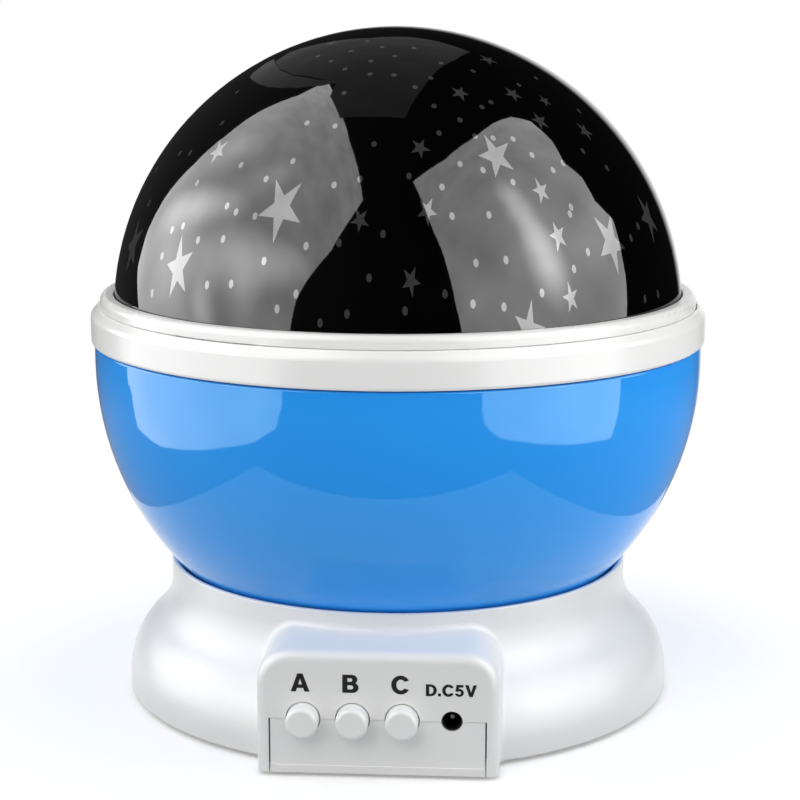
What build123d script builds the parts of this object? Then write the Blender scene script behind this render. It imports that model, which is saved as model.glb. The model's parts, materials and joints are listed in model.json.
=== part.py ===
from build123d import *
import math
import os

# Star night light projector. Millimetres. The light stands on z = 0, its globe turns about the
# Z axis, and its control panel faces -Y.

# ---- Clearances ----
snug = 0.02  # between pieces fixed to each other
running = 0.06  # a shaft in its bearing, on the radius
sliding = 0.2  # a button in its hole, on the radius
shell_gap = 0.3  # between the edges of two mouldings
face_gap = 0.1  # between faces that rest on each other
gear_gap = 0.4  # between turning gears and what they pass
bead_gap = 0.4  # between the bowl's bead and the lock ring's bore

# ---- Base ----
base_r = 58.5
neck_r = 49.1
rim_land = 0.69  # flat width of the rim
shoulder_z = 10.4  # where the skirt's line meets the flank's line
neck_z = 19.8  # where the flank's line meets the neck's line
shoulder_round = 15.7
neck_round = 11.9
shoulder_share = 0.55  # most of the flank that the shoulder's round may take
neck_share = 0.4  # most of the flank that the neck's round may take
upright_share = 0.9  # most of an upright run that a round may take
skirt_edge = 0.5
rim_edge = 0.35
base_wall = 2.0
deck = 1.6  # web under the bowl that carries the bearing
foot_proud = 0.8  # how far the feet stand below the base

# ---- Control panel ----
panel_stand = 2.8  # how far the face stands in front of the base's skirt
panel_w = 46.5
panel_drop = 4.0  # from the rim down to the panel's top
panel_corner = 6.3
panel_edge = 2.0
panel_blend = 1.6
panel_root = 34.0  # distance in front of the axis where the panel's block ends, inside the base
control_pitch = 9.5
control_z = 11.75
button_names = ("a", "b", "c")

# ---- Bottom cover and battery door ----
plate = 3.0
tongue_w = 41.2
tongue_step = 0.2
tongue_t = 2.0
door_t = 2.2
door_ledge = 1.6
peg_r = 0.6
peg_len = 1.7
door_tab_w = 10.0
door_tab_len = 6.5

# ---- Battery bay: four AAA cells side by side ----
cell_r = 5.25
cell_len = 44.5
cell_nub_r = 1.9
cell_nub = 1.2
cell_edge = 0.4
cell_count = 4
cell_gap = 0.3
bay_wall = 1.4
contact_t = 0.4
contact_w = 8.0
contact_h = 8.0
spring_r = 2.8
spring_wire = 0.25
spring_turns = 3
spring_len = 3.1

# ---- Feet and screws ----
foot_r = 4.5
foot_h = 2.2
foot_edge = 0.4
foot_inset = 11.5  # from the base's edge to a foot's middle
foot_angles = (45, 135, 225, 315)
screw_inset = 14.5  # from the base's edge to a screw's middle
screw_angles = (30, 150, 210, 330)
boss_r = 3.2
screw_round = 0.4  # depth of a screw's head that is rounded and slotted, of its height
slot_share = 0.4  # width of a screw's slot, of its shank's radius
cover_screw = (1.3, 2.3, 1.3, 8.8)  # shank radius, head radius, head height, shank length
door_screw = (1.0, 1.9, 1.2, 3.4)
board_screw = (0.9, 1.8, 1.2, 5.0)
bracket_screw = (0.9, 1.8, 1.2, 4.8)
motor_screw = (0.8, 1.6, 1.1, 3.2)
gear_screw = (0.7, 1.4, 1.0, 4.2)

# ---- Globe ----
globe_r = 64.3
bowl_flat_r = 42.784  # radius of the bowl's flat bottom
globe_gap = 0.45  # between the bowl and the base's rim
bowl_wall = 2.2
bowl_floor = 2.2
bowl_skirt = 3.9  # height of the bowl's straight top above the globe's centre
bowl_edge = 0.4
shelf = 2.0  # thickness of the bowl's shoulder under the lock ring
spigot_wall = 1.8
spigot_h = 4.0
bead = 0.7
bead_h = 0.8

# ---- Lock ring: turns on the bowl's spigot ----
ring_stand = 0.7  # how far the ring stands out from the bowl
ring_h = 7.3
ring_wall = 1.7
ring_edge = 0.6
ring_slope_h = 1.5  # height of the ring's sloping shoulder
ring_slope_w = 1.3  # how far the slope comes in
ring_slope_round = 1.2
snap_h = 2.3
catch = 0.4  # how far the ring's snap lip reaches under the bead
flange_h = 1.3
lug_reach = 0.7  # how far a lug reaches under the flange
lug_h = 1.2
lug_arc = 14.0
gate_arc = 18.0
lug_count = 3

# ---- Star cover ----
trim_step = 2.0  # how far the trim's edge lies inside the ring's
trim_h = 2.55
trim_edge = 1.3
trim_bore_edge = 0.3
trim_wall = 1.1
lip_reach = 1.75  # how far the lip reaches over the dome's flange
lip_t = 0.8
dome_gap = 0.115  # between the dome and the lip's underside, on the radius
dome_sink = 5.25  # depth of the dome's centre below the trim's top
dome_wall = 1.6
dome_flange = 1.3
collar_wall = 1.1

# ---- Gear train ----
pressure = math.radians(20)
addendum = 0.8  # of the module
dedendum = 1.1
backlash = 0.1  # taken off each tooth's thickness
drive_module = 0.6
drive_teeth = 72
drive_t = 2.0
small_teeth = 12
motor_module = 0.5
big_teeth = 48
big_t = 1.3
pinion_teeth = 12
pinion_t = 1.6
deck_gap = 0.73  # between the gears and the web above them
idler_turn = 17.4  # direction of the idler from the globe's axis
motor_turn = -30.2  # direction of the motor from the idler
axle_r = 1.0
axle_seat = 0.96  # how far the idler's axle reaches into the web
axle_end_gap = 0.16
shaft_r = 1.0
hub_r = 10.0
hub_bore = 7.0
gear_screw_circle = 8.7
gear_screw_count = 3
bush_wall = 2.0
bush_flange_r = 17.0
bush_flange = 0.45

# ---- Motor ----
motor_r = 10.2
motor_h = 11.0
motor_boss_r = 3.0
motor_boss_h = 1.0
motor_edge = 0.8
motor_screw_circle = 6.0
shaft_seat = 7.5  # length of shaft inside the motor
bracket_t = 1.2
bracket_rim = 3.2
bracket_seat = 0.8  # radius of the bracket over the motor, of the motor's
bracket_post_r = 2.6
bracket_post_turn = 83.0  # direction of one post from the idler
motor_post_gap = 2.2  # between the motor's can and the other post
boss_gap = 2.681  # between the bracket's rim at the other post and the screw boss beside it
boss_beside = 330  # that boss's direction, one of screw_angles

# ---- Light head ----
post_r = 4.5
post_wall = 1.3
light_drop = 6.9  # depth of the light head's board below the dome's centre
post_foot_r = 8.5
post_foot = 1.4
wire_slot_w = 2.4
wire_slot_h = 2.5
led_board_r = 11.0
led_board_t = 1.2
holder_floor = 2.0
holder_rim = 5.0
holder_wall = 1.0
led_r = 2.5
led_h = 8.6
led_circle = 5.0
led_names = ("red", "green", "blue", "white")

# ---- Control board, switches and power socket ----
board_depth = 10.8  # from the panel's face to the board's front
board_t = 1.6
board_w = 39.6
board_low_gap = 0.8  # under the board, to the bottom cover
board_high_gap = 1.53  # over the board, to the web or the panel's roof
board_boss_r = 2.2
board_screw_x = 18.0
board_screw_drop = 6.8  # from the panel's top down to the board's screws
button_r = 3.15
button_proud = 3.4
button_flange = 0.75
button_flange_t = 1.0
button_edge = 0.9
stem_r = 1.5
switch_w = 6.0
switch_h = 3.5
plunger_r = 1.7
plunger_proud = 2.0
plunger_depth = 1.4
button_travel = 0.8
jack_w = 8.0
jack_bore = 1.8
jack_back = 1.0
jack_hole = 2.05
jack_land = 0.7  # wall left in front of the power socket
jack_pin_r = 0.65
jack_pin_setback = 2.1
jack_pin_tip = 0.25

# ---- Wires ----
led_wire_r = 0.8
wire_r = 0.7
wire_bend = 2.0
battery_wire_draw = 0.6  # the battery wires come together by this share on their way

# ---- Worked out from the sizes above ----
base_low = foot_proud
plate_top = base_low + plate
door_top = base_low + door_t
recess_top = door_top + face_gap
cell_z = door_top + gear_gap + cell_r
bay_roof_z = cell_z + cell_r + gear_gap
bay_top = bay_roof_z + bay_wall
bay_x = (cell_count * 2 * cell_r + (cell_count + 1) * cell_gap) / 2
bay_y = (cell_len + spring_len + 2 * contact_t) / 2
recess_x = bay_x + door_ledge
recess_y = bay_y + door_ledge
door_x = recess_x - shell_gap
pivot_y = recess_y - shell_gap - door_t / 2
pivot_z = base_low + door_t / 2
door_screw_y = -(recess_y + door_tab_len / 2)

post_foot_top = bay_top + post_foot
drive_low = post_foot_top + gear_gap
drive_high = drive_low + drive_t
big_low = drive_high + gear_gap
big_high = big_low + big_t
small_low = drive_low - sliding
bracket_low = bay_top + shell_gap
bracket_high = bracket_low + bracket_t
pinion_low = big_low - sliding
deck_low = big_high + deck_gap
deck_high = deck_low + deck
bush_top = deck_high + bush_flange
bowl_floor_z = bush_top + snug
board_low = plate_top + board_low_gap

globe_z = bowl_floor_z + math.sqrt(globe_r**2 - bowl_flat_r**2)
bowl_top = globe_z + bowl_skirt
rim_z = globe_z - math.sqrt((globe_r + globe_gap) ** 2 - (neck_r - rim_land) ** 2)
panel_top = rim_z - panel_drop
board_high = min(deck_low, panel_top - base_wall) - board_high_gap
board_screw_z = panel_top - board_screw_drop
foot_circle = base_r - foot_inset
screw_circle = base_r - screw_inset

ring_r = globe_r + ring_stand
ring_low = bowl_top + shell_gap
ring_high = ring_low + ring_h
ring_bore = ring_r - ring_wall
spigot_top = bowl_top + spigot_h
bead_r = ring_bore - bead_gap
spigot_r = bead_r - bead
snap_r = bead_r - catch
flange_low = ring_high - flange_h
lug_high = flange_low - shell_gap
lug_low = lug_high - lug_h
lug_r = ring_bore - shell_gap
gate_r = lug_r - lug_reach
skirt_r = gate_r - shell_gap
collar_bore = skirt_r - collar_wall
collar_low = lug_low - face_gap
trim_low = ring_high + face_gap
trim_high = trim_low + trim_h
trim_r = ring_r - trim_step
trim_recess_r = trim_r - trim_wall
lip_r = trim_recess_r - lip_reach
trim_recess_top = trim_high - lip_t
dome_foot_z = trim_recess_top - dome_flange
dome_flange_r = trim_recess_r - face_gap
dome_z = trim_high - dome_sink
dome_r = math.hypot(lip_r - dome_gap, trim_recess_top - dome_z)
post_top = dome_z - light_drop

panel_face = base_r + panel_stand
panel_inner = panel_face - base_wall
board_front = -(panel_face - board_depth)
board_back = board_front + board_t
button_front = -(panel_face + button_proud)
button_flange_y = -(panel_inner - sliding)
switch_front = board_front - switch_h
plunger_front = switch_front - plunger_proud
control_x = [(i - len(button_names) / 2) * control_pitch for i in range(len(button_names) + 1)]
jack_x = control_x[-1]
jack_front = -(panel_face - jack_land - face_gap)

drive_r = drive_teeth * drive_module / 2
small_r = small_teeth * drive_module / 2
big_r = big_teeth * motor_module / 2
pinion_r = pinion_teeth * motor_module / 2


def polar(distance, degrees, start=(0, 0)):
    """Point at a distance and direction from a start, seen from above."""
    turn = math.radians(degrees)
    return (start[0] + distance * math.cos(turn), start[1] + distance * math.sin(turn))


idler_at = polar(drive_r + small_r, idler_turn)
motor_at = polar(big_r + pinion_r, motor_turn, idler_at)


def beside(boss, apart, near, reach):
    """Point at a reach from near, turned from the boss just far enough to be apart from it."""
    away = math.dist(near, boss)
    toward = math.degrees(math.atan2(boss[1] - near[1], boss[0] - near[0]))
    cosine = (away**2 + reach**2 - apart**2) / (2 * away * reach)
    return polar(reach, toward - math.degrees(math.acos(min(1.0, cosine))), near)


post_gap = big_r + motor_module + bracket_post_r + 2 * gear_gap
bracket_posts = (
    polar(post_gap, bracket_post_turn, idler_at),
    beside(
        polar(screw_circle, boss_beside),
        boss_r + bracket_rim + boss_gap,
        motor_at,
        motor_r + motor_post_gap + bracket_post_r,
    ),
)
motor_top = bracket_low - face_gap


# ---- Shapes ----
def disc(radius, low, high, at=(0, 0)):
    """Upright cylinder between two heights."""
    block = Cylinder(radius, high - low, align=(Align.CENTER, Align.CENTER, Align.MIN))
    return Pos(at[0], at[1], low) * block


def ring(inner, outer, low, high, at=(0, 0)):
    """Upright tube between two heights."""
    return disc(outer, low, high, at) - disc(inner, low - 1, high + 1, at)


def block(low, high):
    """Box between its lowest and highest corners."""
    size = [high[i] - low[i] for i in range(3)]
    return Pos(*low) * Box(*size, align=(Align.MIN, Align.MIN, Align.MIN))


def rod(radius, x, z, front, back):
    """Cylinder along Y between two distances."""
    bar = Cylinder(radius, back - front, align=(Align.CENTER, Align.CENTER, Align.MIN))
    return Pos(x, front, z) * Rot(-90, 0, 0) * bar


def sector(inner, outer, low, high, arc, middle):
    """Part of a ring, this many degrees long, about a middle direction."""
    corners = [(inner, 0, low), (outer, 0, low), (outer, 0, high), (inner, 0, high)]
    piece = revolve(make_face(Polyline(*corners, close=True)), Axis.Z, revolution_arc=arc)
    return Rot(0, 0, middle - arc / 2) * piece


def ball_slice(radius, centre_z, low, high):
    """Slice of a sphere on the Z axis between two heights."""
    reach = 2 * radius
    return Pos(0, 0, centre_z) * Sphere(radius) & block((-reach, -reach, low), (reach, reach, high))


def rims(part, radius, height):
    """Round edges about the Z axis with this radius at this height."""
    def is_rim(edge):
        return (
            edge.geom_type == GeomType.CIRCLE
            and abs(edge.radius - radius) < 0.01
            and abs(edge.center(CenterOf.BOUNDING_BOX).Z - height) < 0.01
        )

    return part.edges().filter_by(is_rim)


def screw(size, at, head_low, down=False):
    """Pan head screw along Z, its head's outer face at a height, its shank up (or down)."""
    shank_r, head_r, head_h, shank_len = size
    round_h = head_h * screw_round
    slot_half = shank_r * slot_share / 2
    head = fillet(disc(head_r, 0, head_h).edges().sort_by(Axis.Z)[0], round_h)
    slot = block((-head_r, -slot_half, -1), (head_r, slot_half, round_h))
    body = head + disc(shank_r, head_h / 2, head_h + shank_len) - slot
    return Pos(at[0], at[1], head_low) * (Rot(180, 0, 0) * body if down else body)


def base_solid(inset, low, high, low_edge=0.0, high_edge=0.0):
    """Solid of the base's outline, drawn in by an inset, between two heights."""
    turn = math.atan2(base_r - neck_r, neck_z - shoulder_z)
    reach = math.tan(turn / 2)
    flank = (base_r - neck_r) / math.sin(turn)
    skirt_run = upright_share * (shoulder_z - base_low)
    neck_run = upright_share * (rim_z - neck_z)
    shoulder = min(shoulder_round, min(shoulder_share * flank, skirt_run) / reach)
    neck = min(neck_round, min(neck_share * flank, neck_run) / reach)
    drop = inset * reach
    corners = (
        (0, low),
        (base_r - inset, low),
        (base_r - inset, shoulder_z - drop),
        (neck_r - inset, neck_z - drop),
        (neck_r - inset, high),
        (0, high),
    )
    side = FilletPolyline(
        *[(r, 0, z) for r, z in corners], radius=(low_edge, shoulder - inset, neck + inset, high_edge)
    )
    return revolve(make_face(side + Line((0, 0, high), (0, 0, low))), Axis.Z)


def panel_block(inset, low, root, top):
    """Block of the panel, drawn in by an inset, from its face back to a root."""
    half = panel_w / 2 - inset
    corner = panel_corner - inset
    outline = FilletPolyline(
        (-half, 0, low), (-half, 0, top), (half, 0, top), (half, 0, low), radius=corner
    )
    face = make_face(outline + Line((half, 0, low), (-half, 0, low)))
    front = -(panel_face - inset)
    return extrude(Pos(0, front, 0) * face, amount=-root - front, dir=(0, 1, 0))


def gear(teeth, module, low, high, phase, at=(0, 0)):
    """Spur gear with a tooth's middle in the direction phase, in degrees."""
    pitch_r = teeth * module / 2
    ground_r = pitch_r * math.cos(pressure)
    tip_r = pitch_r + addendum * module
    root_r = pitch_r - dedendum * module
    half = (math.pi * module / 2 - backlash) / (2 * pitch_r)

    def involute(angle):
        return math.tan(angle) - angle

    def flank(radius):
        lean = math.acos(min(1.0, ground_r / radius))
        return half + involute(pressure) - involute(lean)

    def point(radius, angle):
        return (radius * math.cos(angle), radius * math.sin(angle), 0)

    step = 2 * math.pi / teeth
    edges = []
    for i in range(teeth):
        mid = math.radians(phase) + i * step
        for side in (-1, 1):
            radii = (root_r, pitch_r, tip_r)[::-side]
            edges.append(ThreePointArc(*[point(r, mid + side * flank(r)) for r in radii]))
        tip = [point(tip_r, mid + s * flank(tip_r)) for s in (-1, 0, 1)]
        edges.append(ThreePointArc(*tip))
        start = mid + flank(root_r)
        end = mid + step - flank(root_r)
        edges.append(ThreePointArc(*[point(root_r, a) for a in (start, (start + end) / 2, end)]))
    wheel = extrude(make_face(Curve() + edges), amount=high - low)
    return Pos(at[0], at[1], low) * wheel


def tube_along(points, radius, bend):
    """Round wire along straight runs joined by arcs."""
    path = FilletPolyline(*points, radius=bend)
    return sweep(Plane(origin=path @ 0, z_dir=path % 0) * Circle(radius), path=path)


# ---- Base ----
def jack_pocket():
    """Room for the front of the power socket behind a thin stretch of the panel's wall."""
    half = jack_w / 2 + sliding
    low = (jack_x - half, -(panel_face - jack_land), control_z - half)
    return block(low, (jack_x + half, -panel_inner + 1, control_z + half))


def make_base_shell():
    body = base_solid(0, base_low, rim_z, skirt_edge, rim_edge)
    front = panel_block(0, base_low, panel_root, panel_top)
    face_edges = front.faces().sort_by(Axis.Y)[0].edges().sort_by(Axis.Z)[1:]
    front = fillet(face_edges, panel_edge)
    joined = body + front
    joined = fillet(new_edges(body, front, combined=joined), panel_blend)
    hollow = base_solid(base_wall, base_low - 1, rim_z)
    hollow += panel_block(base_wall, base_low - 1, panel_root, panel_top - base_wall)
    reach = 2 * panel_face
    hollow &= block((-reach, -reach, base_low - 1), (reach, reach, deck_low))
    well = disc(neck_r - base_wall, deck_high, rim_z + 1)
    well += ball_slice(globe_r + globe_gap, globe_z, deck_high, globe_z)
    shell = joined - hollow - well
    for at in [polar(screw_circle, a) for a in screw_angles]:
        shell += disc(boss_r, plate_top + face_gap, deck_low + face_gap, at)
        shell -= disc(cover_screw[0] + snug, plate_top, plate_top + cover_screw[3], at)
    for at in bracket_posts:
        shell += disc(bracket_post_r, bracket_high, deck_low + face_gap, at)
        shell -= disc(bracket_screw[0] + snug, bracket_high, deck_low + face_gap, at)
    for side in (-1, 1):
        x = side * board_screw_x
        shell += rod(board_boss_r, x, board_screw_z, -panel_inner - face_gap, board_front)
        shell -= rod(board_screw[0] + snug, x, board_screw_z, board_front - board_screw[3], board_front)
    shell -= disc(hub_r + running + bush_wall + snug, deck_low - 1, deck_high + 1)
    shell -= disc(axle_r + snug, deck_low - 1, deck_low + axle_seat + axle_end_gap, idler_at)
    for x in control_x[:-1]:
        shell -= rod(button_r + sliding, x, control_z, -panel_face - 1, -panel_inner + 1)
    shell -= rod(jack_hole, jack_x, control_z, -panel_face - 1, -panel_inner + 1) + jack_pocket()
    half = tongue_w / 2 + shell_gap
    shell -= block((-half, -panel_face - 1, base_low - 1), (half, -panel_inner, control_z))
    return shell


def make_bottom_cover():
    cover = disc(base_r - base_wall - shell_gap, base_low, plate_top)
    half = tongue_w / 2
    front = -panel_face
    cover += block((-half, front, base_low), (half, -panel_root, plate_top))
    lip_front = front + tongue_step
    cover += block((-half, lip_front, plate_top - 1), (half, front + tongue_t, control_z - face_gap))
    cover -= block((-half - 1, front - 1, base_low + plate / 2), (half + 1, lip_front, plate_top + 1))
    for x in control_x[:-1]:
        cover -= rod(button_r + sliding, x, control_z, front - 1, front + tongue_t + 1)
    cover -= rod(jack_hole, jack_x, control_z, front - 1, front + tongue_t + 1) + jack_pocket()

    wall_x = bay_x + bay_wall
    wall_y = bay_y + bay_wall
    cover += block((-wall_x, -wall_y, plate_top - 1), (wall_x, wall_y, bay_top))
    cover -= block((-bay_x, -bay_y, base_low - 1), (bay_x, bay_y, bay_roof_z))
    cover -= block((-recess_x, -recess_y, base_low - 1), (recess_x, recess_y, recess_top))
    tab_half = door_tab_w / 2 + shell_gap
    tab_end = -(recess_y + door_tab_len)
    cover += disc(boss_r, recess_top, recess_top + 2 * door_screw[3], (0, door_screw_y))
    cover -= block((-tab_half, tab_end, base_low - 1), (tab_half, 0, recess_top))
    hole = door_screw[0] + sliding
    cover -= disc(hole, base_low, recess_top + 1.5 * door_screw[3], (0, door_screw_y))
    peg_end = door_x + peg_len + sliding
    for side in (-1, 1):
        low_x, high_x = sorted((side * (recess_x - 1), side * peg_end))
        drill = Cylinder(peg_r + running, high_x - low_x, align=(Align.CENTER, Align.CENTER, Align.MIN))
        cover -= Pos(low_x, pivot_y, pivot_z) * Rot(0, 90, 0) * drill

    for i in (0, cell_count - 1):
        cover -= rod(wire_r + snug, cell_x(i), cell_z, -wall_y - 1, -bay_y + face_gap)

    for at in [polar(foot_circle, a) for a in foot_angles]:
        cover -= disc(foot_r + snug, base_low - 1, foot_h, at)
    for at in [polar(screw_circle, a) for a in screw_angles]:
        cover -= disc(cover_screw[1] + sliding, base_low - 1, base_low + cover_screw[2] + face_gap, at)
        cover -= disc(cover_screw[0] + sliding, base_low, plate_top + 1, at)
    return cover


def make_foot(at):
    foot = disc(foot_r, 0, foot_h, at)
    return fillet(foot.edges().sort_by(Axis.Z)[0], foot_edge)


def make_hub_bush():
    bore = hub_r + running
    return ring(bore, bore + bush_wall, deck_low, deck_high) + ring(bore, bush_flange_r, deck_high, bush_top)


# ---- Battery door ----
def make_battery_door():
    door = block((-door_x, -recess_y + shell_gap, base_low), (door_x, pivot_y, door_top))
    knuckle = Cylinder(door_t / 2, 2 * door_x)
    door += Pos(0, pivot_y, pivot_z) * Rot(0, 90, 0) * knuckle
    door += Pos(0, pivot_y, pivot_z) * Rot(0, 90, 0) * Cylinder(peg_r, 2 * (door_x + peg_len))
    tab_end = -(recess_y + door_tab_len - shell_gap)
    door += block((-door_tab_w / 2, tab_end, base_low), (door_tab_w / 2, 0, door_top))
    head_top = base_low + face_gap + door_screw[2]
    door -= disc(door_screw[1] + sliding, base_low - 1, head_top, (0, door_screw_y))
    door -= disc(door_screw[0] + snug, base_low, door_top + 1, (0, door_screw_y))
    return door


# ---- Globe ----
def make_bowl():
    bowl = ball_slice(globe_r, globe_z, bowl_floor_z, globe_z) + disc(globe_r, globe_z, bowl_top)
    bowl = fillet(rims(bowl, globe_r, bowl_top), bowl_edge)
    bowl += disc(spigot_r, bowl_top, spigot_top)
    bowl += disc(bead_r, spigot_top - face_gap - bead_h, spigot_top - face_gap)
    inner_r = globe_r - bowl_wall
    bowl -= ball_slice(inner_r, globe_z, bowl_floor_z + bowl_floor, globe_z)
    bowl -= disc(inner_r, globe_z, bowl_top - shelf)
    bowl -= disc(spigot_r - spigot_wall, globe_z, spigot_top + 1)
    bowl += disc(hub_r, drive_high, bowl_floor_z + 1)
    bowl -= disc(hub_bore, drive_high - 1, bowl_floor_z + bowl_floor + 1)
    for at in gear_screw_spots():
        bowl -= disc(gear_screw[0] + snug, drive_high - 1, drive_low + gear_screw[2] + gear_screw[3], at)
    return bowl


def gear_screw_spots():
    step = 360 / gear_screw_count
    return [polar(gear_screw_circle, i * step) for i in range(gear_screw_count)]


def make_drive_gear():
    wheel = gear(drive_teeth, drive_module, drive_low, drive_high, idler_turn)
    wheel -= disc(hub_bore, drive_low - 1, drive_high + 1)
    for at in gear_screw_spots():
        wheel -= disc(gear_screw[1] + face_gap, drive_low - 1, drive_low + gear_screw[2], at)
        wheel -= disc(gear_screw[0] + snug, drive_low, drive_high + 1, at)
    return wheel


def make_lock_ring():
    slope_low = ring_high - ring_slope_h
    slope_align = (Align.CENTER, Align.CENTER, Align.MIN)
    band = disc(ring_r, ring_low, slope_low)
    band += Pos(0, 0, slope_low) * Cone(ring_r, ring_r - ring_slope_w, ring_slope_h, align=slope_align)
    band = fillet(rims(band, ring_r, ring_low), ring_edge)
    band = fillet(rims(band, ring_r, slope_low), ring_slope_round)
    band -= disc(ring_bore, ring_low - 1, ring_high + 1)
    band += ring(snap_r, ring_bore + face_gap, ring_low, ring_low + snap_h)
    band += ring(gate_r, ring_bore + face_gap, flange_low, ring_high)
    for i in range(lug_count):
        middle = i * 360 / lug_count
        band -= sector(gate_r - 1, ring_bore, flange_low - face_gap, ring_high + 1, gate_arc, middle)
    return band


# ---- Star cover ----
def make_trim_ring():
    trim = disc(trim_r, trim_low, trim_high)
    trim = fillet(rims(trim, trim_r, trim_high), trim_edge)
    trim -= disc(lip_r, trim_low - 1, trim_high + 1)
    trim = fillet(rims(trim, lip_r, trim_high), trim_bore_edge)
    return trim - disc(trim_recess_r, trim_low - 1, trim_recess_top)


def make_star_dome():
    top = dome_z + dome_r
    dome = ball_slice(dome_r, dome_z, dome_foot_z, top + 1)
    dome += disc(dome_flange_r, dome_foot_z, trim_recess_top)
    return dome - Pos(0, 0, dome_z) * Sphere(dome_r - dome_wall)


def make_bayonet_collar():
    collar = ring(collar_bore, skirt_r, collar_low, trim_low)
    collar += ring(collar_bore, trim_recess_r - face_gap, trim_low - lug_h, dome_foot_z)
    for i in range(lug_count):
        middle = i * 360 / lug_count
        collar += sector(skirt_r - collar_wall / 2, lug_r, lug_low, lug_high, lug_arc, middle)
    return collar


# ---- Gear train ----
def make_idler_gear():
    toward_globe = idler_turn + 180 + 180 / small_teeth
    small = gear(small_teeth, drive_module, small_low, big_low, toward_globe, idler_at)
    big = gear(big_teeth, motor_module, big_low, big_high, motor_turn, idler_at)
    return small + big - disc(axle_r + running, small_low - 1, big_high + 1, idler_at)


def make_pinion_gear():
    toward_idler = motor_turn + 180 + 180 / pinion_teeth
    wheel = gear(pinion_teeth, motor_module, pinion_low, pinion_low + pinion_t, toward_idler, motor_at)
    return wheel - disc(shaft_r, pinion_low - 1, pinion_low + pinion_t + 1, motor_at)


def make_motor():
    can = disc(motor_r, motor_top - motor_h, motor_top, motor_at)
    can = fillet(can.edges().filter_by(GeomType.CIRCLE), motor_edge)
    can += disc(motor_boss_r, motor_top - 1, motor_top + motor_boss_h, motor_at)
    can -= disc(shaft_r + running, motor_top - shaft_seat - sliding, motor_top + 2, motor_at)
    for at in motor_screw_spots():
        can -= disc(motor_screw[0] + snug, bracket_high - motor_screw[3], motor_top + 1, at)
    return can


def motor_screw_spots():
    return [polar(motor_screw_circle, motor_turn + 90 * side, motor_at) for side in (-1, 1)]


def make_motor_bracket():
    rounds = [(motor_at, motor_r * bracket_seat), (idler_at, bracket_rim)]
    rounds += [(at, bracket_rim) for at in bracket_posts]
    edges = [(Pos(at[0], at[1]) * Circle(r)).edge() for at, r in rounds]
    bracket = Pos(0, 0, bracket_low) * extrude(make_hull(edges), amount=bracket_t)
    bracket -= disc(motor_boss_r + snug, bracket_low - 1, bracket_high + 1, motor_at)
    bracket -= disc(axle_r, bracket_low - 1, bracket_high + 1, idler_at)
    for at in bracket_posts:
        bracket -= disc(bracket_screw[0] + snug, bracket_low - 1, bracket_high + 1, at)
    for at in motor_screw_spots():
        bracket -= disc(motor_screw[0] + snug, bracket_low - 1, bracket_high + 1, at)
    return bracket


# ---- Light head ----
def make_led_post():
    post = disc(post_foot_r, bay_top, post_foot_top) + disc(post_r, bay_top, post_top)
    post -= disc(post_r - post_wall, bay_top - 1, post_top + 1)
    slot = (wire_slot_w / 2, post_foot_r + 1)
    return post - block((-slot[0], -slot[1], bay_top - 1), (slot[0], 0, bay_top + wire_slot_h))


def led_spots():
    step = 360 / len(led_names)
    return [polar(led_circle, 45 + i * step) for i in range(len(led_names))]


def make_led_holder():
    low = post_top + led_board_t
    cup = disc(led_board_r, low, low + holder_rim)
    cup -= disc(led_board_r - holder_wall, low + holder_floor, low + holder_rim + 1)
    for at in led_spots():
        cup -= disc(led_r + snug, low - 1, low + holder_floor + 1, at)
    return cup


def make_led(at):
    low = post_top + led_board_t
    bulb_z = low + led_h - led_r
    return disc(led_r, low, bulb_z, at) + Pos(at[0], at[1], bulb_z) * Sphere(led_r)


# ---- Panel controls ----
def make_button(x):
    cap = rod(button_r, x, control_z, button_front, button_flange_y)
    cap = fillet(cap.edges().filter_by(GeomType.CIRCLE).sort_by(Axis.Y)[0], button_edge)
    flange_back = button_flange_y + button_flange_t
    cap += rod(button_r + button_flange, x, control_z, button_flange_y, flange_back)
    return cap + rod(stem_r, x, control_z, flange_back, plunger_front)


def make_plunger(x):
    return rod(plunger_r, x, control_z, plunger_front, switch_front + plunger_depth)


def make_switch(x):
    half = switch_w / 2
    case = block((x - half, switch_front, control_z - half), (x + half, board_front, control_z + half))
    bore_end = switch_front + plunger_depth + button_travel + sliding
    return case - rod(plunger_r + face_gap, x, control_z, switch_front - 1, bore_end)


def make_control_board():
    half = board_w / 2
    board = block((-half, board_front, board_low), (half, board_back, board_high))
    for side in (-1, 1):
        hole_x = side * board_screw_x
        board -= rod(board_screw[0] + snug, hole_x, board_screw_z, board_front - 1, board_back + 1)
    return board


def make_board_screws():
    upright = screw(board_screw, (0, 0), 0)
    lying = Rot(90, 0, 0) * upright
    out = board_back + board_screw[2]
    return [Pos(side * board_screw_x, out, board_screw_z) * lying for side in (-1, 1)]


def make_dc_jack():
    half = jack_w / 2
    case = block(
        (jack_x - half, jack_front, control_z - half), (jack_x + half, board_front, control_z + half)
    )
    return case - rod(jack_bore, jack_x, control_z, jack_front - 1, board_front - jack_back)


def make_dc_pin():
    pin = rod(jack_pin_r, jack_x, control_z, jack_front + jack_pin_setback, board_front - jack_back)
    return chamfer(pin.edges().filter_by(GeomType.CIRCLE).sort_by(Axis.Y)[0], jack_pin_tip)


# ---- Battery bay ----
def cell_x(i):
    return (i - (cell_count - 1) / 2) * (2 * cell_r + cell_gap)


def make_cell(i):
    """AAA cell along Y; every other one is turned end for end."""
    body = rod(cell_r, 0, 0, 0, cell_len - cell_nub)
    body = fillet(body.edges().filter_by(GeomType.CIRCLE), cell_edge)
    body += rod(cell_nub_r, 0, 0, cell_len - cell_nub - 1, cell_len)
    start = bay_y - contact_t - cell_len
    upright = Pos(0, start, 0) * body
    return Pos(cell_x(i), 0, cell_z) * (upright if i % 2 == 0 else Rot(0, 0, 180) * upright)


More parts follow.
